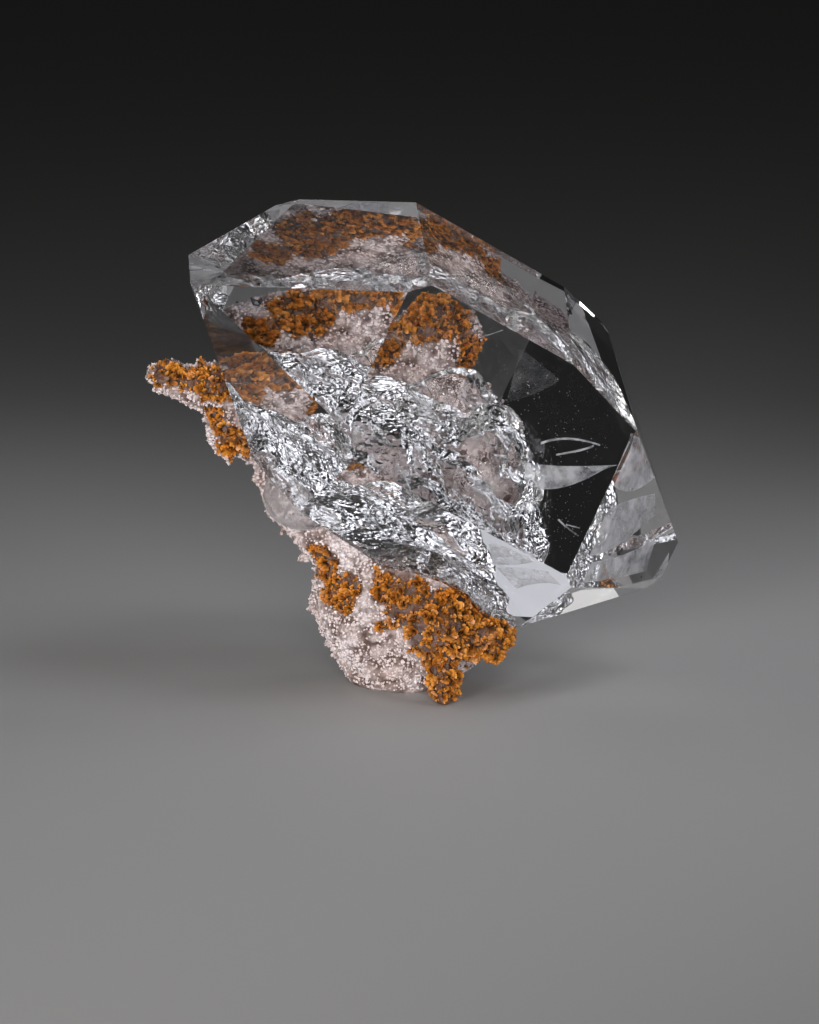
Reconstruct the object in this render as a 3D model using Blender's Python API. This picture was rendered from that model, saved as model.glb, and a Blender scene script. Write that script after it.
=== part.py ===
"""A clear, doubly terminated quartz crystal seated on a plate of coated druse.

The crystal is the space inside its natural faces: the six-sided prism, the rhombohedron
faces of both ends, one steep face beside the right end and one tapered face below. Each
face is a plane square to its direction, at its own distance from the crystal's centre.
The matrix is a tilted plate with an arm, a peak and a thick foot, set with small lumps of
iron oxide and small quartz points. The crystal is hollowed where it grew round the plate.
"""

import math
import random

import bmesh
import bpy
from mathutils import Matrix, Vector, noise

MM = 0.001

# The crystal's place: its centre, and how its long c axis and its front prism face stand.
CRYSTAL_CENTRE = Vector((1.8, -0.1, 37.6)) * MM
C_AXIS_RISE = math.radians(29.9)
C_AXIS_HEADING = math.radians(195.3)
PRISM_ROLL = math.radians(9.35)
RHOMB_ANGLE = math.radians(38.2)
STEEP_ANGLE = math.radians(-14.9)
TAPER_ANGLE = math.radians(7.2)

# Distance in millimetres from the centre to each face, by its place round the c axis
# in steps of 60 degrees, counted from the front face.
PRISM_FACES = {0: 17.7, 1: 17.9, 2: 23.1, 3: 18.3, -1: 20.9}
LEFT_RHOMB_FACES = {0: 23.2, 1: 21.8, 2: 33.3, 3: 28.2, -2: 23.2, -1: 23.6}
RIGHT_RHOMB_FACES = {0: 26.65, 1: 24.6, 2: 30.0, 3: 20.5, -2: 26.1, -1: 30.3}
STEEP_FACE_PLACE = 0.98
STEEP_FACE = 19.85
TAPER_FACE_PLACE = -2
TAPER_FACE = 17.1

# A rounded knob of quartz swells out of the crystal's lower left corner.
KNOB_CENTRE = Vector((-14.6, -5.6, 27.2)) * MM
KNOB_RADII = Vector((6.0, 5.2, 5.6)) * MM

# Gap left between the crystal and the plate that it sits on.
SEAT_GAP = 0.35 * MM

# The plate faces forwards and up along this direction, and runs down to the right.
PLATE_NORMAL = Vector((0.438, -0.590, 0.678)).normalized()
PLATE_RUN = Vector((0.790, -0.106, -0.604)).normalized()

# Lumps that make up the matrix: centre and half sizes in millimetres.
PLATE = ((-4.8, 8.3, 23.6), (20.0, 16.0, 7.5))
LUMPS = {
    "lower_body": ((-2.0, 0.2, 12.0), (12.3, 10.6, 11.0)),
    "base": ((-1.5, 3.5, 4.2), (9.5, 10.5, 6.5)),
    "front_tip": ((3.4, -9.8, 3.4), (2.3, 3.4, 4.6)),
    "front_bulge": ((2.4, -8.8, 9.2), (5.2, 4.4, 4.4)),
    "right_cluster": ((8.2, -3.6, 7.6), (4.4, 5.0, 3.7)),
    "right_rear": ((9.4, 3.6, 9.2), (4.2, 5.6, 4.2)),
    "back_plate": ((-4.2, 22.6, 29.6), (11.6, 7.0, 11.4)),
    "peak": ((-2.0, 25.0, 42.6), (6.0, 5.0, 6.2)),
    "saddle": ((-8.4, 23.2, 39.8), (6.4, 5.6, 6.0)),
    "left_plate": ((-18.0, 10.0, 33.0), (8.6, 7.6, 5.4)),
    "arm_root": ((-22.4, 8.0, 36.6), (6.0, 5.4, 5.0)),
    "arm": ((-26.6, 6.6, 39.4), (7.6, 4.4, 3.2)),
    "arm_end": ((-32.9, 5.4, 40.6), (3.6, 3.4, 2.4)),
    "arm_web": ((-23.6, 7.0, 34.4), (4.8, 4.6, 5.2)),
    "left_lower": ((-16.6, 6.4, 29.6), (5.6, 6.4, 6.6)),
    "right_shoulder": ((4.8, 14.6, 25.4), (6.8, 7.6, 8.8)),
    "upper_left": ((-14.4, 22.2, 36.8), (8.4, 7.4, 7.4)),
}

# How the joined lumps are made rough: size of the finest skin cell, and two scales of relief.
SKIN_CELL = 0.8 * MM
COARSE_RELIEF = (0.75 * MM, 4.4 * MM)
FINE_RELIEF = (0.28 * MM, 1.5 * MM)
MATRIX_TRIANGLES = 2300

# Zones coated with iron oxide: a place in millimetres and how far the coat spreads from it.
COATED_ZONES = {
    "arm_top": ((-30.0, 3.5, 43.0), 7.0),
    "arm_root": ((-21.0, 3.0, 40.0), 5.0),
    "peak": ((-2.0, 21.0, 46.0), 8.5),
    "saddle": ((-10.0, 18.0, 44.0), 6.0),
    "right_side": ((9.0, -7.0, 8.5), 9.0),
    "front_tip": ((5.0, -12.0, 4.0), 6.5),
    "front_patch": ((-9.5, -9.5, 19.0), 3.6),
}

# The small pieces grown from the matrix: how many are tried, and their sizes.
OXIDE_TRIES = 700
OXIDE_RADIUS = (0.7 * MM, 1.25 * MM)
POINT_TRIES = 210
POINT_RADIUS = (0.45 * MM, 0.85 * MM)
POINT_SLENDERNESS = 1.7
PIECE_CLEARANCE = 0.7 * MM
SEED = 11

# Colour, roughness and how much light passes through, for each piece.
CRYSTAL_LOOK = ((0.96, 0.97, 1.0, 1.0), 0.0, 1.0)
MATRIX_LOOK = ((0.47, 0.35, 0.28, 1.0), 0.85, 0.0)
QUARTZ_IOR = 1.544


def clear_scene():
    for thing in list(bpy.data.objects):
        bpy.data.objects.remove(thing, do_unlink=True)


def crystal_axes():
    """Return the prism face direction 0, the direction a quarter turn on, and the c axis."""
    flat = math.cos(C_AXIS_RISE)
    c_axis = Vector((flat * math.cos(C_AXIS_HEADING), flat * math.sin(C_AXIS_HEADING), math.sin(C_AXIS_RISE)))
    level = Vector((0, 0, 1)).cross(c_axis).normalized()
    steep = c_axis.cross(level)
    front = level * math.cos(PRISM_ROLL) + steep * math.sin(PRISM_ROLL)
    return front, c_axis.cross(front), c_axis


def face_direction(place, lean):
    """Direction square to a face: its place round the c axis, and its lean towards the left end."""
    front, beside, c_axis = crystal_axes()
    turn = math.radians(60) * place
    around = front * math.cos(turn) + beside * math.sin(turn)
    return around * math.cos(lean) + c_axis * math.sin(lean)


def crystal_faces():
    """Yield each natural face as a direction and a distance from the centre."""
    for place, distance in PRISM_FACES.items():
        yield face_direction(place, 0.0), distance * MM
    for place, distance in LEFT_RHOMB_FACES.items():
        yield face_direction(place, RHOMB_ANGLE), distance * MM
    for place, distance in RIGHT_RHOMB_FACES.items():
        yield face_direction(place, -RHOMB_ANGLE), distance * MM
    yield face_direction(STEEP_FACE_PLACE, STEEP_ANGLE), STEEP_FACE * MM
    yield face_direction(TAPER_FACE_PLACE, TAPER_ANGLE), TAPER_FACE * MM


def new_object(name, mesh):
    thing = bpy.data.objects.new(name, mesh)
    bpy.context.scene.collection.objects.link(thing)
    return thing


def object_from(bm, name):
    mesh = bpy.data.meshes.new(name)
    bm.to_mesh(mesh)
    bm.free()
    return new_object(name, mesh)


def settle(thing):
    """Replace the object's mesh by the one that its modifiers give, and drop them."""
    view = bpy.context.evaluated_depsgraph_get()
    mesh = bpy.data.meshes.new_from_object(thing.evaluated_get(view), depsgraph=view)
    thing.modifiers.clear()
    thing.data = mesh


def combine(thing, other, operation, other_overlaps_itself=False):
    """Join or cut with an exact Boolean, then remove the other object."""
    change = thing.modifiers.new("combine", "BOOLEAN")
    change.operation = operation
    change.solver = "EXACT"
    change.use_self = other_overlaps_itself
    change.object = other
    settle(thing)
    bpy.data.objects.remove(other, do_unlink=True)


def cut_by_faces(bm, faces, centre):
    """Cut a solid down to the space behind each face plane."""
    for direction, distance in faces:
        everything = bm.verts[:] + bm.edges[:] + bm.faces[:]
        cut = bmesh.ops.bisect_plane(
            bm, geom=everything, plane_co=centre + direction * distance,
            plane_no=direction, clear_outer=True, dist=1e-7)
        rim = [part for part in cut["geom_cut"] if isinstance(part, bmesh.types.BMEdge)]
        if rim:
            bmesh.ops.contextual_create(bm, geom=rim)


def ellipsoid(bm, centre, radii, turn, subdivisions):
    place = Matrix.Translation(centre) @ turn.to_4x4() @ Matrix.Diagonal((*radii, 1.0))
    bmesh.ops.create_icosphere(bm, subdivisions=subdivisions, radius=1.0, matrix=place)


def make_crystal():
    bm = bmesh.new()
    bmesh.ops.create_cube(bm, size=120 * MM, matrix=Matrix.Translation(CRYSTAL_CENTRE))
    cut_by_faces(bm, crystal_faces(), CRYSTAL_CENTRE)
    bmesh.ops.recalc_face_normals(bm, faces=bm.faces)
    crystal = object_from(bm, "quartz_crystal")
    knob = bmesh.new()
    ellipsoid(knob, KNOB_CENTRE, KNOB_RADII, Matrix.Identity(3), 3)
    combine(crystal, object_from(knob, "knob"), "UNION")
    return crystal


def roughen(mesh):
    """Push each point along its normal by two scales of smooth noise."""
    for size, scale in (COARSE_RELIEF, FINE_RELIEF):
        pushes = []
        for vertex in mesh.vertices:
            wave = noise.noise(vertex.co / scale) + 0.5 * noise.noise(vertex.co / scale * 2.1)
            pushes.append(vertex.normal * (size * wave))
        for vertex, push in zip(mesh.vertices, pushes):
            vertex.co += push
        mesh.update()


def thin_out(thing, triangles):
    before = sum(len(face.vertices) - 2 for face in thing.data.polygons)
    thinner = thing.modifiers.new("thin", "DECIMATE")
    thinner.ratio = triangles / before
    settle(thing)


def make_matrix_body():
    bm = bmesh.new()
    across = PLATE_NORMAL.cross(PLATE_RUN)
    tilt = Matrix((PLATE_RUN, across, PLATE_NORMAL)).transposed()
    centre, radii = PLATE
    ellipsoid(bm, Vector(centre) * MM, Vector(radii) * MM, tilt, 4)
    for centre, radii in LUMPS.values():
        ellipsoid(bm, Vector(centre) * MM, Vector(radii) * MM, Matrix.Identity(3), 4)
    body = object_from(bm, "matrix")
    skin = body.modifiers.new("skin", "REMESH")
    skin.mode = "VOXEL"
    skin.voxel_size = SKIN_CELL
    settle(body)
    roughen(body.data)
    thin_out(body, MATRIX_TRIANGLES)
    return body


def outside_crystal(place):
    """How far a place lies outside the crystal and its knob; negative inside them."""
    offset = place - CRYSTAL_CENTRE
    beyond_faces = max(offset.dot(direction) - distance for direction, distance in crystal_faces())
    beyond_knob = (place - KNOB_CENTRE).length - max(KNOB_RADII)
    return min(beyond_faces, beyond_knob)


def coated(place):
    for centre, spread in COATED_ZONES.values():
        if (place - Vector(centre) * MM).length < spread * MM:
            return True
    return False


def stand_on(place, normal, dice):
    """A turn that stands a small piece on the surface, leaning a little and spun at random."""
    lean = Vector((dice.uniform(-1, 1), dice.uniform(-1, 1), dice.uniform(-1, 1))) * 0.45
    turn = (normal + lean).to_track_quat("Z", "Y").to_matrix().to_4x4()
    spin = Matrix.Rotation(dice.uniform(0, math.pi), 4, "Z")
    return Matrix.Translation(place) @ turn @ spin


def oxide_lump(bm, place, normal, dice):
    """A burr of iron oxide: an icosahedron with its corners pulled in and out."""
    radius = dice.uniform(*OXIDE_RADIUS)
    burr = bmesh.ops.create_icosphere(
        bm, subdivisions=1, radius=radius, matrix=stand_on(place, normal, dice))
    for corner in burr["verts"]:
        corner.co = place + (corner.co - place) * dice.uniform(0.7, 1.35)


def quartz_point(bm, place, normal, dice):
    """A small six-sided prism sunk in the druse, with a six-sided point."""
    radius = dice.uniform(*POINT_RADIUS)
    stand = stand_on(place, normal, dice)
    foot = radius * -0.9
    shoulder = radius * POINT_SLENDERNESS * dice.uniform(0.35, 0.8)
    rings = []
    for height in (foot, shoulder):
        ring = []
        for corner in range(6):
            turn = math.radians(60) * corner
            flat = Vector((radius * math.cos(turn), radius * math.sin(turn), height))
            ring.append(bm.verts.new(stand @ flat))
        rings.append(ring)
    tip = bm.verts.new(stand @ Vector((0, 0, shoulder + radius * 1.1)))
    bm.faces.new(rings[0][::-1])
    for corner in range(6):
        beside = (corner + 1) % 6
        bm.faces.new((rings[0][corner], rings[0][beside], rings[1][beside], rings[1][corner]))
        bm.faces.new((rings[1][corner], rings[1][beside], tip))


def small_pieces(body):
    """The oxide lumps and quartz points, spread over the faces that the crystal leaves free."""
    dice = random.Random(SEED)
    faces = [face for face in body.data.polygons if face.center.z > 2.5 * MM]
    weights = [face.area for face in faces]
    bm = bmesh.new()
    taken = []
    for grow, wanted, wants_coat in ((oxide_lump, OXIDE_TRIES, True), (quartz_point, POINT_TRIES, False)):
        for face in dice.choices(faces, weights, k=wanted):
            place = face.center.copy()
            if coated(place) != wants_coat or outside_crystal(place) < 3 * PIECE_CLEARANCE:
                continue
            if any((place - other).length < 2.2 * PIECE_CLEARANCE for other in taken):
                continue
            grow(bm, place, face.normal, dice)
            taken.append(place)
    return object_from(bm, "small_pieces")


def seat_cutter(body):
    """A copy of the matrix grown by the seat gap, to hollow the crystal."""
    bm = bmesh.new()
    bm.from_mesh(body.data)
    bm.normal_update()
    grown = [vertex.co + vertex.normal * SEAT_GAP for vertex in bm.verts]
    for vertex, place in zip(bm.verts, grown):
        vertex.co = place
    return object_from(bm, "seat_cutter")


def cut_foot(body):
    """Cut the foot off flat at the surface that the specimen rests on."""
    bm = bmesh.new()
    bm.from_mesh(body.data)
    cut_by_faces(bm, [(Vector((0, 0, -1)), 0.0)], Vector((0, 0, 0)))
    bmesh.ops.triangulate(bm, faces=bm.faces)
    bmesh.ops.recalc_face_normals(bm, faces=bm.faces)
    bm.to_mesh(body.data)
    bm.free()


def stand_on_origin(things):
    """Bring the middle of the whole object's floor area over the origin."""
    corners = [corner.co for thing in things for corner in thing.data.vertices]
    middle_x = (min(c.x for c in corners) + max(c.x for c in corners)) / 2
    middle_y = (min(c.y for c in corners) + max(c.y for c in corners)) / 2
    for thing in things:
        thing.location = (-middle_x, -middle_y, 0)


def finish(thing, look):
    colour, roughness, transmission = look
    material = bpy.data.materials.new(thing.name)
    material.use_nodes = True
    shader = material.node_tree.nodes["Principled BSDF"]
    shader.inputs["Base Color"].default_value = colour
    shader.inputs["Roughness"].default_value = roughness
    shader.inputs["Metallic"].default_value = 0.0
    shader.inputs["Transmission Weight"].default_value = transmission
    shader.inputs["IOR"].default_value = QUARTZ_IOR
    thing.data.materials.clear()
    thing.data.materials.append(material)


clear_scene()
matrix = make_matrix_body()
quartz = make_crystal()
combine(quartz, seat_cutter(matrix), "DIFFERENCE")
combine(matrix, small_pieces(matrix), "UNION", other_overlaps_itself=True)
cut_foot(matrix)
stand_on_origin([quartz, matrix])
finish(quartz, CRYSTAL_LOOK)
finish(matrix, MATRIX_LOOK)
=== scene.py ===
"""The looks of a clear quartz crystal seated on a plate of coated druse.

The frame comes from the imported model. Each section below makes one piece or group of
pieces, with its sizes, its shape, its material and its place on the model.
"""

import math

import bmesh
import bpy
import numpy as np
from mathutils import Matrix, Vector
from mathutils.bvhtree import BVHTree


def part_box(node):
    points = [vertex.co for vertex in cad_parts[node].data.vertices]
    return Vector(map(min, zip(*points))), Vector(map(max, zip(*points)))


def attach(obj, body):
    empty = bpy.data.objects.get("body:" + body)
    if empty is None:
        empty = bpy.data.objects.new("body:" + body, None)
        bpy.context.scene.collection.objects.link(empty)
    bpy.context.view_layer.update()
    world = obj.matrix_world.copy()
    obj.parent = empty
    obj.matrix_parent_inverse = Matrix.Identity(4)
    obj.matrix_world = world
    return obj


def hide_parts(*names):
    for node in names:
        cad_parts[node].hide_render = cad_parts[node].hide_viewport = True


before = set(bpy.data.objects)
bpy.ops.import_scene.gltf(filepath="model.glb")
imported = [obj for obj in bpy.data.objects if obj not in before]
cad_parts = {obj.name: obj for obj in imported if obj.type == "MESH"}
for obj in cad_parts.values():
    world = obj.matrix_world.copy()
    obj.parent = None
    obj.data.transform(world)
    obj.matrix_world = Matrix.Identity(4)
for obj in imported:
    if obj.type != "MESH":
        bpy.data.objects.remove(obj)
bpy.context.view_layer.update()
MM = 0.001

# The camera stands half a metre off and looks down by ten degrees, at a point between the
# middle of the specimen and the middle of the picture's frame.
crystal_low, crystal_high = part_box("quartz_crystal")
VIEW_TARGET = (crystal_low + crystal_high) / 2 + Vector((-3.51, -6.28, -11.81)) * MM
VIEW_RISE = math.radians(10)
VIEW_DISTANCE = 500 * MM
VIEW_HEIGHT = 166.4 * MM
SENSOR = 36.0
PHOTO_WIDTH, PHOTO_HEIGHT = 819, 1024

toward_camera = Vector((0, -math.cos(VIEW_RISE), math.sin(VIEW_RISE)))
lens = bpy.data.cameras.new("camera")
lens.sensor_width = SENSOR
lens.lens = SENSOR * VIEW_DISTANCE / (VIEW_HEIGHT * PHOTO_WIDTH / PHOTO_HEIGHT)
lens.clip_start = 10 * MM
camera = bpy.data.objects.new("camera", lens)
camera.location = VIEW_TARGET + toward_camera * VIEW_DISTANCE
camera.rotation_euler = toward_camera.to_track_quat("Z", "Y").to_euler()
bpy.context.scene.collection.objects.link(camera)
bpy.context.scene.camera = camera


# The large crystal: one clear, doubly ended quartz, grown round the plate that carries it.
# Its natural faces are flat and bright. Where it grew against the druse its skin is a
# crumpled cast of the grains, which shines like foil through the clear stone.
SEAT_EDGE = 0.30 * MM
SEAT_SPLITS = 5
SHORTEST_EDGE = 0.01 * MM
NATURAL_AREA = 12 * MM ** 2
FLAT_LIMIT = math.radians(0.25)
SEAT_GRAIN = 0.72 * MM
SEAT_SWELL = 3.6 * MM
SEAT_DENT = 0.27 * MM
SEAT_SWELL_DEPTH = 1.1 * MM
KNOB_MIDDLE = np.array((-17.1, -5.9, -9.1)) * MM
KNOB_REACH = 6.4 * MM
QUARTZ_IOR = 1.544
DULL_PATCHES = 330.0
CELL_PRIMES = np.array((73856093, 19349663, 83492791))
SEED_PRIME = 668265263
MIXING = ((13, 1274126177), (15, 2246822519))
crystal_middle = np.array((crystal_low + crystal_high) / 2)


def cell_random(cells, seed):
    """A number from 0 to 1 for each whole-number cell: its numbers times primes, then mixed."""
    mixed = (cells * CELL_PRIMES).sum(axis=-1) + seed * SEED_PRIME
    for shift, prime in MIXING:
        mixed = (mixed ^ (mixed >> shift)) * prime & 0xFFFFFFFF
    return (mixed >> 8) / 0xFFFFFF


def smooth_noise(points, size, seed):
    """Noise from 0 to 1: the corner values of each cell, blended by 3t^2 - 2t^3 on each axis."""
    cell = np.floor(points / size).astype(np.int64)
    blend = points / size - cell
    blend = blend * blend * (3 - 2 * blend)
    total = np.zeros(len(points))
    for corner in np.ndindex(2, 2, 2):
        weight = np.prod(np.where(corner, blend, 1 - blend), axis=-1)
        total += weight * cell_random(cell + corner, seed)
    return total


def grain_distance(points, size, seed):
    """Distance to the nearest of the random points set one to a cell, in cells."""
    cell = np.floor(points / size).astype(np.int64)
    nearest = np.full(len(points), 2.0)
    for offset in np.ndindex(3, 3, 3):
        other = cell + offset - 1
        jitter = np.stack([cell_random(other, seed + axis) for axis in range(3)], axis=-1)
        gap = np.linalg.norm(points / size - other - jitter, axis=-1)
        nearest = np.minimum(nearest, gap)
    return nearest


def merged_node(name):
    """The node's own mesh with its doubled corners merged."""
    bm = bmesh.new()
    bm.from_mesh(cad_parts[name].data)
    bmesh.ops.remove_doubles(bm, verts=bm.verts, dist=1e-7)
    return bm


def split_seat(bm):
    """Halve the seat's long edges until its triangles are fine; flat natural faces stay whole."""
    bmesh.ops.dissolve_limit(bm, angle_limit=FLAT_LIMIT, verts=bm.verts, edges=bm.edges)
    for face in bm.faces:
        face.material_index = 0 if face.calc_area() > NATURAL_AREA else 1
    for _ in range(SEAT_SPLITS):
        seat = [face for face in bm.faces if face.material_index == 1 and len(face.verts) > 3]
        bmesh.ops.triangulate(bm, faces=seat)
        rim = [edge for edge in bm.edges if any(face.material_index for face in edge.link_faces)]
        bmesh.ops.dissolve_degenerate(bm, dist=SHORTEST_EDGE, edges=rim)
        long_edges = [
            edge for edge in bm.edges
            if edge.calc_length() > SEAT_EDGE
            and any(face.material_index for face in edge.link_faces)]
        bmesh.ops.subdivide_edges(bm, edges=long_edges, cuts=1)
    seat = [face for face in bm.faces if face.material_index == 1 and len(face.verts) > 3]
    bmesh.ops.triangulate(bm, faces=seat)


def read_array(items, name, width, kind=float):
    """One value of every item, or a row of values each where the width is above one."""
    values = np.empty(len(items) * width, kind)
    items.foreach_get(name, values)
    return values.reshape(-1, width) if width > 1 else values


def frost_knob(mesh):
    """Give the small faces round the knob the third material, a rougher skin."""
    away = np.linalg.norm(
        read_array(mesh.polygons, "center", 3) - crystal_middle - KNOB_MIDDLE, axis=-1)
    kind = read_array(mesh.polygons, "material_index", 1, np.int32)
    kind[(kind == 1) & (away < KNOB_REACH)] = 2
    mesh.polygons.foreach_set("material_index", kind)
    mesh.polygons.foreach_set("use_smooth", kind > 0)


def crumple_seat(mesh):
    """Draw each inner seat point back into the crystal: dents of grains on wider swells."""
    points = read_array(mesh.vertices, "co", 3)
    normals = read_array(mesh.vertices, "normal", 3)
    seat_loop = np.repeat(
        read_array(mesh.polygons, "material_index", 1, np.int32),
        read_array(mesh.polygons, "loop_total", 1, np.int32)) == 1
    corner = read_array(mesh.loops, "vertex_index", 1, np.int32)
    held = np.zeros(len(points), bool)
    held[corner[~seat_loop]] = True
    dents = SEAT_DENT * grain_distance(points, SEAT_GRAIN, seed=3)
    swells = SEAT_SWELL_DEPTH * smooth_noise(points, SEAT_SWELL, seed=7)
    depth = np.where(held, 0.0, dents + swells)
    mesh.vertices.foreach_set("co", (points - normals * depth[:, None]).ravel())
    mesh.update()


def add_piece(name, mesh, *materials):
    """Put a mesh in the scene as one piece of the specimen, with its materials."""
    piece = bpy.data.objects.new(name, mesh)
    bpy.context.scene.collection.objects.link(piece)
    for material in materials:
        mesh.materials.append(material)
    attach(piece, "root")
    return piece


def new_material(name):
    """A material with a Principled shader; returns it, its node tree and the shader."""
    material = bpy.data.materials.new(name)
    material.use_nodes = True
    tree = material.node_tree
    return material, tree, tree.nodes["Principled BSDF"]


def add_node(tree, kind, **inputs):
    """Add a node. Each named input, its spaces written as _, takes a value or a socket."""
    node = tree.nodes.new(kind)
    for name, value in inputs.items():
        socket = node.inputs[name.replace("_", " ")]
        if isinstance(value, bpy.types.NodeSocket):
            tree.links.new(value, socket)
        else:
            socket.default_value = value
    return node


def noise_node(tree, scale, detail=4.0, roughness=0.55):
    """Noise over the object's own coordinates; the scale is in features to a metre."""
    place = tree.nodes.new("ShaderNodeTexCoord").outputs["Object"]
    return add_node(
        tree, "ShaderNodeTexNoise", Vector=place, Scale=scale, Detail=detail, Roughness=roughness)


def ramp_node(tree, factor, *stops):
    """A colour ramp through (position, colour) stops."""
    ramp = add_node(tree, "ShaderNodeValToRGB", Fac=factor)
    elements = ramp.color_ramp.elements
    elements[0].position, elements[0].color = stops[0]
    elements[1].position, elements[1].color = stops[-1]
    for position, colour in stops[1:-1]:
        elements.new(position).color = colour
    return ramp.outputs["Color"]


def new_group(name, inputs, outputs):
    """A shader node group; its sockets are given as (name, kind) pairs."""
    group = bpy.data.node_groups.new(name, "ShaderNodeTree")
    for side, sockets in (("INPUT", inputs), ("OUTPUT", outputs)):
        for socket, kind in sockets:
            group.interface.new_socket(socket, in_out=side, socket_type="NodeSocket" + kind)
    given = group.nodes.new("NodeGroupInput").outputs
    return group, given, group.nodes.new("NodeGroupOutput").inputs


def place_group(tree, group, **inputs):
    """Place a node group with its own values; returns its outputs."""
    node = tree.nodes.new("ShaderNodeGroup")
    node.node_tree = group
    for name, value in inputs.items():
        node.inputs[name.replace("_", " ")].default_value = value
    return node.outputs


def growth_relief():
    """Faint bumps with a faint tint in their hollows, and a skin that is dull in patches."""
    group, given, put = new_group(
        "growth relief",
        (("Scale", "Float"), ("Height", "Float"), ("Least Dull", "Float"), ("Most Dull", "Float")),
        (("Color", "Color"), ("Roughness", "Float"), ("Normal", "Vector")))
    relief = noise_node(group, given["Scale"]).outputs["Fac"]
    tint = ramp_node(group, relief, (0.3, (0.965, 0.97, 0.99, 1)), (0.7, (1, 1, 1, 1)))
    bump = add_node(group, "ShaderNodeBump", Height=relief, Distance=given["Height"], Strength=1.0)
    dulling = add_node(
        group, "ShaderNodeMapRange", Value=noise_node(group, DULL_PATCHES, detail=5).outputs["Fac"],
        From_Min=0.42, From_Max=0.62, To_Min=given["Least Dull"], To_Max=given["Most Dull"])
    group.links.new(tint, put["Color"])
    group.links.new(dulling.outputs[0], put["Roughness"])
    group.links.new(bump.outputs["Normal"], put["Normal"])
    return group


def clear_quartz(name, **relief):
    """Colourless quartz that light passes through, with the given relief on its skin."""
    material, tree, shader = new_material(name)
    skin = place_group(tree, relief_group, **relief)
    tree.links.new(skin["Color"], shader.inputs["Base Color"])
    tree.links.new(skin["Roughness"], shader.inputs["Roughness"])
    tree.links.new(skin["Normal"], shader.inputs["Normal"])
    shader.inputs["IOR"].default_value = QUARTZ_IOR
    shader.inputs["Transmission Weight"].default_value = 1.0
    return material


relief_group = growth_relief()
crystal_bm = merged_node("quartz_crystal")
split_seat(crystal_bm)
crystal_mesh = bpy.data.meshes.new("crystal")
crystal_bm.to_mesh(crystal_mesh)
crystal_bm.free()
crumple_seat(crystal_mesh)
frost_knob(crystal_mesh)
crystal = add_piece(
    "crystal", crystal_mesh,
    clear_quartz("crystal_faces", Scale=90.0, Height=0.002 * MM),
    clear_quartz("crystal_seat", Scale=1800.0, Height=0.03 * MM, Least_Dull=0.03, Most_Dull=0.3),
    clear_quartz("crystal_knob", Scale=900.0, Height=0.2 * MM, Least_Dull=0.25, Most_Dull=0.4))
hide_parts("quartz_crystal")


# The matrix: a plate of pinkish white druse with an arm to the left, a peak behind and a
# thick foot. Its rock is granular quartz, stained brown where iron oxide coats it.
ROCK_CELL = 0.31 * MM
EASING_STEPS = 5
GRAIN_SIZE, GRAIN_DRAW = 0.62 * MM, 0.36 * MM
PIT_SIZE, PIT_DRAW = 1.5 * MM, 0.6 * MM
COAT_DRAW = 0.6 * MM
FOOT_FADE = 1.2 * MM
PATCH_SIZE, FLECK_SIZE, BREAK_UP = 2.6 * MM, 1.1 * MM, 0.4
ROCK_MOTTLE, ROCK_SPECK = 190.0, 2300.0
COATED_ZONES = (
    ((-32.0, -1.5, 42.2), 3.4), ((-28.8, -2.0, 42.2), 3.8), ((-25.3, -2.8, 41.4), 4.2),
    ((-25.5, 1.0, 35.5), 2.0), ((-23.5, 0.0, 32.0), 2.8), ((-20.0, 6.0, 42.0), 4.8),
    ((-9.5, 15.0, 45.0), 5.2), ((-4.0, 17.0, 46.5), 4.2), ((-1.0, 19.0, 48.0), 5.2),
    ((-16.0, 12.0, 42.0), 2.8), ((3.5, 19.5, 41.0), 3.0), ((0.5, 26.0, 47.0), 5.0),
    ((-12.0, -8.5, 17.5), 2.6), ((-10.9, -9.9, 14.6), 2.4), ((-8.7, -11.5, 15.0), 2.2),
    ((-8.6, -11.5, 12.6), 1.5), ((-3.5, -13.3, 15.4), 2.2), ((-0.2, -14.0, 14.2), 3.2),
    ((4.8, -15.5, 11.0), 4.8), ((4.2, -16.5, 6.5), 4.2), ((9.5, -11.0, 9.0), 7.0),
    ((4.3, -16.5, 2.6), 5.2), ((-3.6, -14.5, 9.4), 1.2), ((-0.4, -15.2, 10.6), 1.8),
    ((11.0, -5.0, 8.5), 6.0), ((7.0, 14.0, 20.0), 4.0))


def coat(points):
    """How thickly iron oxide coats a place: above 0 within a zone, broken up by noise."""
    cover = np.full(len(points), -1.0)
    for centre, spread in COATED_ZONES:
        away = np.linalg.norm(points - np.array(centre) * MM, axis=-1) / (spread * MM)
        cover = np.maximum(cover, 1 - away)
    patches = smooth_noise(points, PATCH_SIZE, seed=21) - 0.5
    flecks = smooth_noise(points, FLECK_SIZE, seed=22) - 0.5
    return np.clip(cover, -0.35, 0.5) + BREAK_UP * patches + BREAK_UP * flecks


def set_attribute(mesh, name, values):
    """Keep one number for each point of a mesh, for its material to read."""
    layer = mesh.attributes.new(name, "FLOAT", "POINT")
    layer.data.foreach_set("value", values.astype(np.float32))


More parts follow.
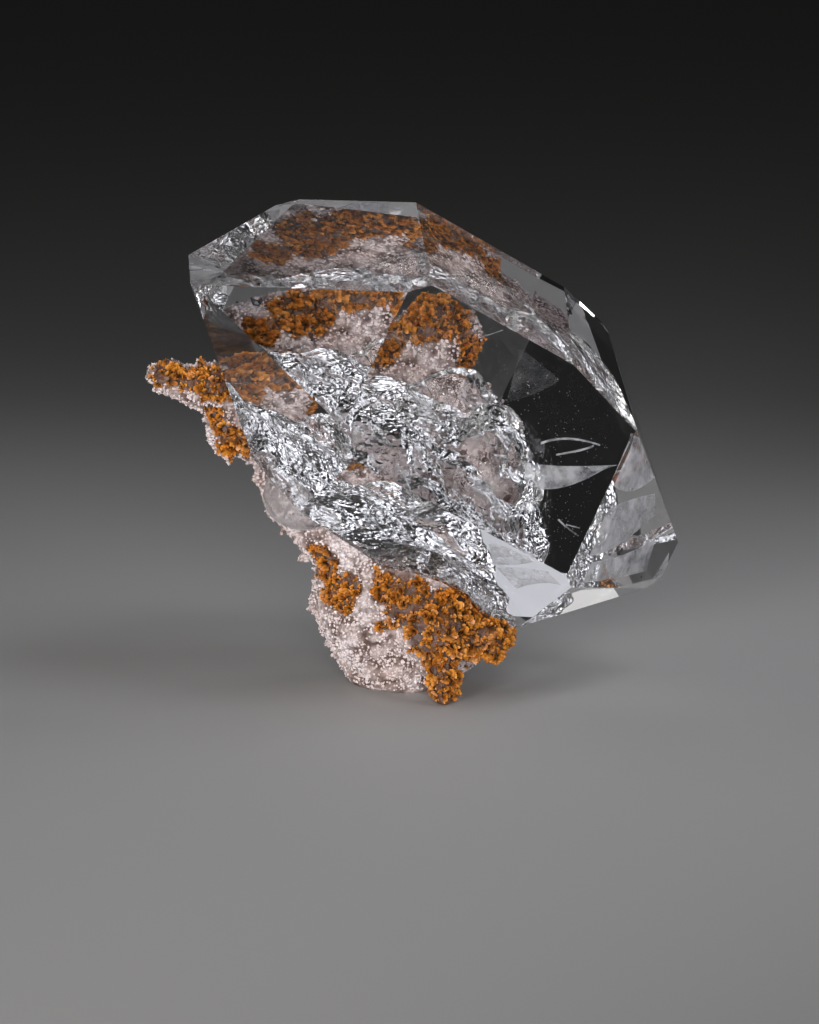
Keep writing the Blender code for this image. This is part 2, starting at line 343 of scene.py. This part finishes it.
def make_rock():
    """The node's shape in fine cells, drawn in along its normals by pits, grains and coat."""
    bm = merged_node("matrix")
    rough = bpy.data.meshes.new("rock_form")
    bm.to_mesh(rough)
    bm.free()
    form = bpy.data.objects.new("rock_form", rough)
    bpy.context.scene.collection.objects.link(form)
    skin = form.modifiers.new("skin", "REMESH")
    skin.mode = "VOXEL"
    skin.voxel_size = ROCK_CELL
    easing = form.modifiers.new("easing", "SMOOTH")
    easing.iterations = EASING_STEPS
    view = bpy.context.evaluated_depsgraph_get()
    mesh = bpy.data.meshes.new_from_object(form.evaluated_get(view), depsgraph=view)
    bpy.data.objects.remove(form, do_unlink=True)
    points = read_array(mesh.vertices, "co", 3)
    normals = read_array(mesh.vertices, "normal", 3)
    grains = grain_distance(points, GRAIN_SIZE, seed=11)
    pits = smooth_noise(points, PIT_SIZE, seed=14) ** 2
    cover = coat(points)
    coated = np.clip(cover * 4 + 0.5, 0, 1)
    draw = GRAIN_DRAW * grains + PIT_DRAW * pits + COAT_DRAW * coated
    foot = np.clip(points[:, 2] / FOOT_FADE, 0, 1)
    points -= normals * (draw * foot)[:, None]
    mesh.vertices.foreach_set("co", points.ravel())
    mesh.update()
    set_attribute(mesh, "cover", cover)
    set_attribute(mesh, "coat", coated)
    # Painted shade: how far the grain gaps and pits darken the rock's colour.
    set_attribute(mesh, "hollow_shade", np.clip(0.9 * grains + 1.7 * pits - 0.4, 0, 1))
    return mesh


def attribute_node(tree, name):
    """The output that reads a number kept on the mesh."""
    node = tree.nodes.new("ShaderNodeAttribute")
    node.attribute_name = name
    return node.outputs["Fac"]


def mix_colour(tree, factor, first, second):
    """Mix two colours, each given as a value or a socket, by a factor."""
    node = tree.nodes.new("ShaderNodeMix")
    node.data_type = "RGBA"
    for index, value in ((0, factor), (6, first), (7, second)):
        socket = node.inputs[index]
        if isinstance(value, bpy.types.NodeSocket):
            tree.links.new(value, socket)
        else:
            socket.default_value = value
    return node.outputs[2]


def druse_mottle():
    """Stretches a few millimetres wide from Brown to Pale, with dark specks between the grains."""
    group, given, put = new_group(
        "druse mottle", (("Brown", "Color"), ("Pale", "Color"), ("Speck", "Color")),
        (("Color", "Color"),))
    stretch = add_node(
        group, "ShaderNodeMapRange", Value=noise_node(group, ROCK_MOTTLE, detail=3).outputs["Fac"],
        From_Min=0.36, From_Max=0.64)
    speck = add_node(
        group, "ShaderNodeMapRange", Value=noise_node(group, ROCK_SPECK, detail=4).outputs["Fac"],
        From_Min=0.35, From_Max=0.6)
    broad = mix_colour(group, stretch.outputs[0], given["Brown"], given["Pale"])
    group.links.new(mix_colour(group, speck.outputs[0], given["Speck"], broad), put["Color"])
    return group


mottle_group = druse_mottle()


def rock_material():
    """Mottled pinkish rock, rust brown where it is coated, with painted shade darkening its
    hollows.
    """
    material, tree, shader = new_material("druse_rock")
    rust = ramp_node(
        tree, noise_node(tree, 420.0, detail=6).outputs["Fac"], (0.3, (0.04, 0.014, 0.004, 1)),
        (0.55, (0.14, 0.05, 0.01, 1)), (0.75, (0.4, 0.16, 0.03, 1)))
    # Its own pinkish mottle, with Brown and Speck set darker than on the grains: partly painted
    # shade for the rock between them.
    druse = place_group(
        tree, mottle_group, Brown=(0.46, 0.34, 0.31, 1), Pale=(0.86, 0.8, 0.82, 1),
        Speck=(0.33, 0.25, 0.23, 1))
    colour = mix_colour(tree, attribute_node(tree, "coat"), druse["Color"], rust)
    # Painted shade: the rock is darkened towards deep brown in its grain gaps and pits.
    shaded = mix_colour(tree, attribute_node(tree, "hollow_shade"), colour, (0.11, 0.065, 0.055, 1))
    tree.links.new(shaded, shader.inputs["Base Color"])
    fine = noise_node(tree, 2600.0, detail=3)
    bump = add_node(
        tree, "ShaderNodeBump", Height=fine.outputs["Fac"], Distance=0.12 * MM, Strength=1.0)
    tree.links.new(bump.outputs["Normal"], shader.inputs["Normal"])
    shader.inputs["Roughness"].default_value = 0.55
    return material


rock_mesh = make_rock()
rock = add_piece("rock", rock_mesh, rock_material())
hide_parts("matrix")


# The druse: thousands of tiny quartz grains grown from the rock, each with a six-sided tip
# out and another buried, leaning all ways and crowding over the surface.
POINT_COUNT = 32000
POINT_LIMIT = 16500
POINT_WIDTH = (0.11 * MM, 0.27 * MM)
BIG_SHARE, BIG_SCALE = 0.08, 1.5
POINT_HEIGHT, POINT_FLATTENING = (0.8, 1.5), (0.6, 1.2)
POINT_LEAN = 0.45
LOWEST_POINT = 0.5 * MM
THINNEST_COAT = 0.05
CRYSTAL_CLEARANCE = 0.05 * MM
DEEPEST_INSIDE = 1.6 * MM
dice = np.random.default_rng(5)
crystal_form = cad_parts["quartz_crystal"].data
crystal_skin = BVHTree.FromPolygons(
    [tuple(corner.co) for corner in crystal_form.vertices],
    [tuple(face.vertices) for face in crystal_form.polygons])


def outside_crystal(points):
    """How far each point is from the crystal's skin; negative for one just inside it."""
    gaps = np.empty(len(points))
    for index, point in enumerate(points):
        near, normal, _, gap = crystal_skin.find_nearest(Vector(point))
        side = 1 if gap > DEEPEST_INSIDE else (Vector(point) - near).dot(normal)
        gaps[index] = math.copysign(gap, side)
    return gaps


def scatter(mesh, count):
    """Places, directions and oxide cover of small faces of the mesh, picked at random by area."""
    areas = read_array(mesh.polygons, "area", 1)
    picked = dice.choice(len(areas), count, replace=False, p=areas / areas.sum())
    corner = read_array(mesh.loops, "vertex_index", 1, np.int32)[
        read_array(mesh.polygons, "loop_start", 1, np.int32)[picked]]
    cover = read_array(mesh.attributes["cover"].data, "value", 1, np.float32)[corner]
    centres = read_array(mesh.polygons, "center", 3)[picked]
    return centres, read_array(mesh.polygons, "normal", 3)[picked], cover


def directions(normals, lean):
    """Three square directions for each small crystal, whose own axis leans from the surface's."""
    axis = normals + dice.normal(size=normals.shape) * lean
    axis /= np.linalg.norm(axis, axis=-1, keepdims=True)
    across = np.cross(axis, dice.normal(size=normals.shape))
    across /= np.linalg.norm(across, axis=-1, keepdims=True)
    return across, np.cross(axis, across), axis


def copies(template, triangles, places, axes, scales):
    """Copies of a small form: place + each template axis times its direction and its scale."""
    points = places[:, None, :] + sum(
        template[None, :, k, None] * (axes[k] * scales[:, k:k + 1])[:, None, :] for k in range(3))
    first = np.arange(len(places)) * len(template)
    return points.reshape(-1, 3), (triangles[None] + first[:, None, None]).reshape(-1, 3)


def mesh_from(name, points, faces):
    """A mesh of the given points and faces."""
    mesh = bpy.data.meshes.new(name)
    mesh.from_pydata(points, [], faces)
    mesh.update()
    return mesh


def fan(first, ring, turned=False):
    """Triangles from one corner to a closed ring of corners."""
    rows = [(first, a, b) for a, b in zip(ring, ring[1:] + ring[:1]) if first not in (a, b)]
    return [row[::-1] for row in rows] if turned else rows


def point_form():
    """A six-sided double cone: a ring one wide, with tips one above and one below it."""
    turn = np.arange(6) * math.radians(60)
    ring = np.stack([np.cos(turn), np.sin(turn), np.zeros(6)], axis=-1)
    points = np.concatenate([ring, [(0, 0, 1), (0, 0, -1)]])
    middle = list(range(6))
    return points, np.array(fan(6, middle) + fan(7, middle, turned=True))


def clear_of_crystal(places, tips):
    """Which small pieces stay outside the large crystal, at their foot and at their tip."""
    gaps = np.minimum(outside_crystal(places), outside_crystal(tips))
    return gaps > CRYSTAL_CLEARANCE


def make_points():
    """Double cones of random width, height and lean on the bare rock, outside the crystal."""
    places, normals, cover = scatter(rock_mesh, POINT_COUNT)
    free = (places[:, 2] > LOWEST_POINT) & (cover < THINNEST_COAT)
    places, normals = places[free], normals[free]
    width = dice.uniform(*POINT_WIDTH, len(places))
    width = np.where(dice.uniform(size=len(places)) < BIG_SHARE, width * BIG_SCALE, width)
    height = width * dice.uniform(*POINT_HEIGHT, len(places))
    turned = directions(normals, POINT_LEAN)
    keep = clear_of_crystal(places, places + turned[2] * height[:, None])
    keep &= np.cumsum(keep) <= POINT_LIMIT
    turned = [axis[keep] for axis in turned]
    form, triangles = point_form()
    breadth = width * dice.uniform(*POINT_FLATTENING, len(width))
    scales = np.stack([width, breadth, height], axis=-1)[keep]
    points, faces = copies(form, triangles, places[keep], turned, scales)
    mesh = mesh_from("druse_points", points, faces)
    set_attribute(mesh, "tint", np.repeat(dice.uniform(size=keep.sum()), len(form)))
    return mesh


def druse_material():
    """Pale translucent-looking grains, mottled as their rock is, each with its own tint."""
    material, tree, shader = new_material("druse_quartz")
    druse = place_group(
        tree, mottle_group, Brown=(0.56, 0.43, 0.4, 1), Pale=(0.84, 0.77, 0.79, 1),
        Speck=(0.5, 0.39, 0.36, 1))
    varied = mix_colour(tree, attribute_node(tree, "tint"), druse["Color"], (0.72, 0.63, 0.63, 1))
    tree.links.new(varied, shader.inputs["Base Color"])
    shader.inputs["Roughness"].default_value = 0.42
    shader.inputs["IOR"].default_value = QUARTZ_IOR
    return material


druse = add_piece("druse_points", make_points(), druse_material())


# The iron oxide: rosettes of broad thin blades, a millimetre or two across, grown outwards
# from the druse with dark gaps between them. Blade tips are orange; painted shade darkens
# their feet to near black.
ROSETTE_SPACING = 1.2 * MM
ROSETTE_RADIUS = (0.55 * MM, 1.5 * MM)
BLADES_IN_ROSETTE = 18
BLADE_LIMIT = 16500
BLADE_THICKNESS = 0.035 * MM
BLADE_LENGTH, BLADE_WIDTH = (0.75, 1.05), (0.16, 0.34)
BLADE_LEAN = 0.62
BLADE_OUTLINE = ((0.0, 0.0), (-0.8, 0.5), (-0.95, 0.8), (-0.1, 1.0), (0.8, 0.86), (0.6, 0.4))
LOWEST_FOOT, LOWEST_TIP = 1.0 * MM, 0.3 * MM
FACES_PER_TRY = 3


def blade_form():
    """A thin lens on a crooked six-cornered outline, one high, with its middle pushed out."""
    ring = np.insert(np.array(BLADE_OUTLINE), 1, 0.0, axis=1)
    points = np.concatenate([ring, [(0.0, 1.3, 0.65), (0.0, -0.7, 0.65)]])
    middle = list(range(6))
    return points, np.array(fan(6, middle, turned=True) + fan(7, middle))


def spaced(places, spacing):
    """One place in each cell of a grid that is one spacing wide."""
    cells = np.floor(places / spacing).astype(np.int64)
    return np.sort(np.unique(cells, axis=0, return_index=True)[1])


def make_blades():
    """A rosette of blades in each coated cell, larger where the coat is thick."""
    places, normals, cover = scatter(rock_mesh, len(rock_mesh.polygons) // FACES_PER_TRY)
    coated = (cover > 0.0) & (places[:, 2] > LOWEST_FOOT)
    places, normals, cover = places[coated], normals[coated], cover[coated]
    chosen = spaced(places, ROSETTE_SPACING)
    radius = dice.uniform(*ROSETTE_RADIUS, len(chosen))
    radius = radius * np.clip(0.6 + 1.3 * cover[chosen], 0.6, 1)
    shade = dice.uniform(size=len(chosen)).repeat(BLADES_IN_ROSETTE)
    radius = radius.repeat(BLADES_IN_ROSETTE)
    places = places[chosen].repeat(BLADES_IN_ROSETTE, axis=0)
    normals = normals[chosen].repeat(BLADES_IN_ROSETTE, axis=0)
    length = dice.uniform(*BLADE_LENGTH, len(places)) * radius
    width = dice.uniform(*BLADE_WIDTH, len(places)) * radius
    turned = directions(normals, BLADE_LEAN)
    tips = places + turned[2] * length[:, None]
    keep = clear_of_crystal(places, tips) & (tips[:, 2] > LOWEST_TIP)
    keep &= np.cumsum(keep) <= BLADE_LIMIT
    scales = np.stack([width, np.full(len(width), BLADE_THICKNESS), length], axis=-1)[keep]
    form, triangles = blade_form()
    points, faces = copies(form, triangles, places[keep], [axis[keep] for axis in turned], scales)
    mesh = mesh_from("oxide_blades", points, faces)
    set_attribute(mesh, "rise", np.tile(form[:, 2], keep.sum()))
    set_attribute(mesh, "tint", shade[keep].repeat(len(form)))
    return mesh


def blade_material():
    """Orange and ochre blades by rosette, with painted shade that darkens them to near black at
    their feet.
    """
    material, tree, shader = new_material("iron_oxide")
    tint = attribute_node(tree, "tint")
    hue = ramp_node(
        tree, tint, (0.1, (0.36, 0.12, 0.018, 1)), (0.4, (0.72, 0.26, 0.028, 1)),
        (0.8, (0.86, 0.37, 0.05, 1)), (0.97, (0.72, 0.35, 0.16, 1)))
    mottled = mix_colour(
        tree, noise_node(tree, 900.0, detail=4).outputs["Fac"], hue, (0.5, 0.18, 0.025, 1))
    # Painted shade: each blade darkens to near black towards its foot.
    foot = add_node(
        tree, "ShaderNodeMapRange", Value=attribute_node(tree, "rise"),
        From_Min=0.25, From_Max=0.85)
    colour = mix_colour(tree, foot.outputs[0], (0.035, 0.011, 0.003, 1), mottled)
    tree.links.new(colour, shader.inputs["Base Color"])
    shader.inputs["Roughness"].default_value = 0.45
    return material


blades = add_piece("oxide_blades", make_blades(), blade_material())


# Inside the clear stone: healed cracks and silky veils towards its right end, and fine dust
# through the right half. Each veil is given by its lower and its upper edge, three points
# each in millimetres from the crystal's middle, then by its bow and by how dense it is.
VEILS = (
    # The fan that springs from the right of the seat.
    (((10.8, -11.3, -7.2), (15.2, -9.9, -8.0), (21.1, -7.3, -5.9)),
     ((10.5, -11.0, -4.4), (15.2, -9.4, -5.2), (22.8, -6.7, -5.5)), 0.8, 0.6),
    # Silk in the face of the right end.
    (((22.0, -9.6, -7.5), (24.6, -5.8, -8.8), (27.7, -2.1, -7.7)),
     ((24.6, -8.1, -1.8), (25.0, -7.7, -1.3), (25.6, -1.0, -3.8)), 0.5, 0.75),
    (((18.6, -9.8, -16.5), (22.5, -4.8, -16.0), (27.6, 1.0, -13.0)),
     ((20.7, -8.9, -10.9), (23.1, -5.9, -10.1), (27.5, -0.1, -10.0)), 0.9, 0.6),
    (((17.6, -9.9, -20.0), (21.8, -3.9, -20.6), (26.4, 3.0, -20.8)),
     ((18.9, -9.1, -17.4), (22.8, -3.8, -17.6), (27.6, 3.0, -16.5)), 0.6, 0.6),
    # A faint plane above the fan.
    (((7.9, -7.7, 2.8), (11.6, -6.2, 3.7), (14.9, -4.8, 5.3)),
     ((9.7, -6.1, 9.3), (11.4, -5.4, 8.2), (14.6, -5.5, 5.6)), 0.8, 0.07),
    # Fine lines beside and below the fan.
    (((12.8, -10.9, -2.2), (16.3, -9.5, -1.8), (20.5, -8.2, -2.8)),
     ((12.8, -10.8, -1.9), (16.3, -9.5, -1.5), (20.5, -8.1, -2.6)), 0.3, 0.9),
    (((14.8, -10.4, -3.7), (18.2, -9.1, -3.3), (19.7, -8.5, -2.8)),
     ((14.8, -10.4, -3.5), (18.2, -9.1, -3.0), (19.7, -8.4, -2.6)), 0.3, 0.9),
    (((15.2, -13.5, -11.6), (16.5, -13.2, -12.8), (17.8, -12.9, -13.8)),
     ((15.4, -13.4, -11.4), (16.7, -13.1, -12.7), (18.0, -12.8, -13.7)), 0.2, 0.9),
    (((16.3, -13.2, -12.3), (17.2, -12.9, -12.6), (18.1, -12.7, -12.8)),
     ((16.3, -13.2, -12.1), (17.2, -12.9, -12.4), (18.1, -12.6, -12.7)), 0.2, 0.9),
    # Cloud behind the lower right face.
    (((7.3, -12.9, -16.9), (9.8, -13.9, -16.8), (12.3, -15.2, -16.2)),
     ((6.8, -15.8, -13.6), (9.0, -16.2, -14.1), (12.6, -15.4, -16.0)), 0.3, 0.85),
    (((10.4, -10.5, -20.6), (13.4, -12.4, -19.5), (16.0, -13.1, -19.6)),
     ((7.8, -12.7, -17.2), (10.9, -14.0, -17.2), (14.4, -14.3, -17.5)), 0.3, 0.55),
    # A line beside the peak.
    (((4.8, -12.7, 11.7), (6.6, -12.0, 12.2), (8.0, -11.5, 12.6)),
     ((4.8, -12.7, 11.8), (6.6, -12.0, 12.3), (8.0, -11.5, 12.7)), 0.2, 0.6))
VEIL_THICKNESS = 0.02 * MM
VEIL_STEPS = (30, 12)
RIPPLE = 0.12
DUST_CORNERS = np.array(
    ((4.0, -12.8, 16.5), (23.4, -8.6, 1.7), (17.5, -14.8, -16.5), (0.3, -19.4, -4.1)))
DUST_INWARDS = np.array((-0.31, 0.76, -0.56))
DUST_DEPTH = (0.3, 8.0)
DUST_COUNT = 420
DUST_SIZE = (0.025 * MM, 0.065 * MM)


def sheet(low, high, bow):
    """Parabolas through each edge's three points, straight lines from edge to edge between
    them, and across them the bow times sin(pi u) sin(pi v) plus a ripple of sin(9u) sin(3 + 7v);
    a second layer lies one thickness behind."""
    u = np.linspace(0, 1, VEIL_STEPS[0])[:, None]
    v = np.linspace(0, 1, VEIL_STEPS[1])[:, None]
    weights = np.concatenate([2 * (u - 0.5) * (u - 1), 4 * u * (1 - u), 2 * u * (u - 0.5)], axis=1)
    edges = weights @ np.array(low), weights @ np.array(high)
    points = edges[0][:, None] * (1 - v) + edges[1][:, None] * v
    across = np.cross(points[-1, 0] - points[0, 0], points[0, -1] - points[0, 0])
    across /= np.linalg.norm(across)
    swell = np.sin(np.pi * u) * np.sin(np.pi * v.T) + RIPPLE * np.sin(9 * u) * np.sin(3 + 7 * v.T)
    front = (points + across * (bow * swell)[..., None]) * MM + crystal_middle
    return np.stack([front, front - across * VEIL_THICKNESS])


def sheet_faces(across, along):
    """Quads over both layers of a sheet and round its rim."""
    index = np.arange(across * along).reshape(across, along)
    layer = np.stack([index[:-1, :-1], index[1:, :-1], index[1:, 1:], index[:-1, 1:]], axis=-1)
    layer = layer.reshape(-1, 4)
    rim = np.concatenate([index[:-1, 0], index[-1, :-1], index[:0:-1, -1], index[0, :0:-1]])
    onward = np.roll(rim, -1)
    side = np.stack([onward, rim, rim + index.size, onward + index.size], axis=-1)
    return np.concatenate([layer, layer[:, ::-1] + index.size, side])


def make_veils():
    """All the veils in one mesh; each point keeps how dense its veil is."""
    sheets = np.array([sheet(low, high, bow) for low, high, bow, _ in VEILS])
    size = sheets[0].size // 3
    faces = sheet_faces(*VEIL_STEPS)[None] + (np.arange(len(VEILS)) * size)[:, None, None]
    mesh = mesh_from("veils", sheets.reshape(-1, 3), faces.reshape(-1, 4))
    set_attribute(mesh, "thickness", np.repeat([density for *_, density in VEILS], size))
    return mesh


def make_dust():
    """Small double cones at random between four corners, at random depths inwards."""
    nearest, deepest = DUST_DEPTH
    u, v, depth = dice.uniform(size=(3, DUST_COUNT, 1))
    a, b, c, d = DUST_CORNERS
    places = (a * (1 - u) + b * u) * (1 - v) + (d * (1 - u) + c * u) * v
    places = places + DUST_INWARDS * (nearest + (deepest - nearest) * depth ** 2)
    form, triangles = point_form()
    scales = dice.uniform(*DUST_SIZE, (DUST_COUNT, 3))
    turned = directions(np.tile([0.0, 0.0, 1.0], (DUST_COUNT, 1)), 1.0)
    points, faces = copies(form, triangles, places * MM + crystal_middle, turned, scales)
    return mesh_from("dust", points, faces)


def veil_material():
    """Silky white, see-through by streaks and by how dense the veil is."""
    material, tree, shader = new_material("healed_crack")
    silk = noise_node(tree, 420.0, detail=7).outputs["Fac"]
    pale = ramp_node(tree, silk, (0.3, (0.66, 0.67, 0.74, 1)), (0.6, (0.97, 0.97, 1, 1)))
    tree.links.new(pale, shader.inputs["Base Color"])
    streak = add_node(
        tree, "ShaderNodeMapRange", Value=silk, From_Min=0.36, From_Max=0.62, To_Min=0.25)
    cover = tree.nodes.new("ShaderNodeMath")
    cover.operation = "MULTIPLY"
    tree.links.new(streak.outputs[0], cover.inputs[0])
    tree.links.new(attribute_node(tree, "thickness"), cover.inputs[1])
    tree.links.new(cover.outputs[0], shader.inputs["Alpha"])
    shader.inputs["Roughness"].default_value = 0.4
    return material


def dust_material():
    """Pale grey specks."""
    material, tree, shader = new_material("dust")
    grey = ramp_node(
        tree, noise_node(tree, 500.0).outputs["Fac"], (0.3, (0.5, 0.5, 0.55, 1)),
        (0.7, (0.9, 0.9, 0.95, 1)))
    tree.links.new(grey, shader.inputs["Base Color"])
    shader.inputs["Roughness"].default_value = 0.5
    return material


veils = add_piece("veils", make_veils(), veil_material())
dust = add_piece("dust", make_dust(), dust_material())


# Two dark mineral grains and a few specks shut in the crystal near its upper left corner,
# given by place in millimetres from the crystal's middle and by size in millimetres.
DARK_GRAINS = (
    ((-22.9, -10.4, 15.7), (0.5, 0.45, 0.9)), ((-22.2, -10.3, 15.9), (0.35, 0.4, 0.6)),
    ((-23.4, -10.2, 16.2), (0.25, 0.2, 0.4)), ((-25.2, -9.7, 15.7), (0.16, 0.2, 0.3)),
    ((-15.6, -14.5, 11.4), (0.15, 0.14, 0.25)))


def make_dark_grains():
    """A double cone of three sizes for each grain, turned at random."""
    places, scales = (np.array(column) * MM for column in zip(*DARK_GRAINS))
    form, triangles = point_form()
    turned = directions(np.tile([0.7, -0.3, 0.4], (len(places), 1)), 0.8)
    points, faces = copies(form, triangles, places + crystal_middle, turned, scales)
    return mesh_from("dark_grains", points, faces)


def dark_material():
    """Near black, half bright mineral."""
    material, tree, shader = new_material("dark_mineral")
    black = ramp_node(
        tree, noise_node(tree, 900.0).outputs["Fac"], (0.35, (0.01, 0.01, 0.013, 1)),
        (0.65, (0.05, 0.05, 0.065, 1)))
    tree.links.new(black, shader.inputs["Base Color"])
    shader.inputs["Roughness"].default_value = 0.2
    return material


dark_grains = add_piece("dark_grains", make_dark_grains(), dark_material())


# The floor and the light: a pale surface under soft square lights that stand close round the
# specimen, each with its direction from it, its distance, its size, its power, how wide its
# beam spreads and its tone. The floor falls away into shade behind.
FLOOR_HALF = 3.0
FLOOR_COLOUR = (0.52, 0.515, 0.51, 1)
WORLD_GREY = 0.012
LIGHT_AIM = Vector((0, -5, 32)) * MM
WARM, COOL = (1.0, 0.985, 0.97), (0.92, 0.93, 1.0)
LIGHTS = (
    ("upper_right", (0.64, 0.12, 0.76), 0.28, 0.12, 0.022, 100, COOL),
    ("upper_front", (0.45, -0.35, 0.82), 0.28, 0.12, 0.046, 100, COOL),
    ("front_left", (-0.35, -0.93, 0.06), 0.42, 0.10, 0.140, 60, WARM),
    ("front", (0.06, -0.97, 0.15), 0.62, 0.20, 0.130, 40, WARM),
    ("behind", (-0.02, 0.84, 0.54), 0.30, 0.09, 0.008, 120, COOL),
    ("right_back", (0.87, 0.48, 0.16), 0.28, 0.08, 0.020, 90, COOL),
    ("left_top", (-0.72, 0.25, 0.65), 0.28, 0.16, 0.030, 120, WARM))

floor_bm = bmesh.new()
bmesh.ops.create_grid(floor_bm, x_segments=1, y_segments=1, size=FLOOR_HALF)
floor_mesh = bpy.data.meshes.new("floor")
floor_bm.to_mesh(floor_mesh)
floor_bm.free()
floor = bpy.data.objects.new("floor", floor_mesh)
bpy.context.scene.collection.objects.link(floor)
floor_material, _, floor_shader = new_material("floor")
floor_shader.inputs["Base Color"].default_value = FLOOR_COLOUR
floor_shader.inputs["Roughness"].default_value = 0.7
floor_mesh.materials.append(floor_material)

for name, direction, distance, size, power, spread, colour in LIGHTS:
    panel = bpy.data.lights.new(name, "AREA")
    panel.size = size
    panel.energy = power
    panel.color = colour
    panel.spread = math.radians(spread)
    light = bpy.data.objects.new(name, panel)
    light.location = LIGHT_AIM + Vector(direction).normalized() * distance
    light.rotation_euler = Vector(direction).to_track_quat("Z", "Y").to_euler()
    bpy.context.scene.collection.objects.link(light)

world = bpy.data.worlds.new("world")
world.use_nodes = True
world.node_tree.nodes["Background"].inputs["Color"].default_value = (WORLD_GREY,) * 3 + (1,)
bpy.context.scene.world = world

bpy.context.scene.view_settings.view_transform = "Standard"

# Light bounces many times inside the clear stone before it comes out.
bounces = bpy.context.scene.cycles
bounces.max_bounces = 32
bounces.glossy_bounces = 20
bounces.transmission_bounces = 24
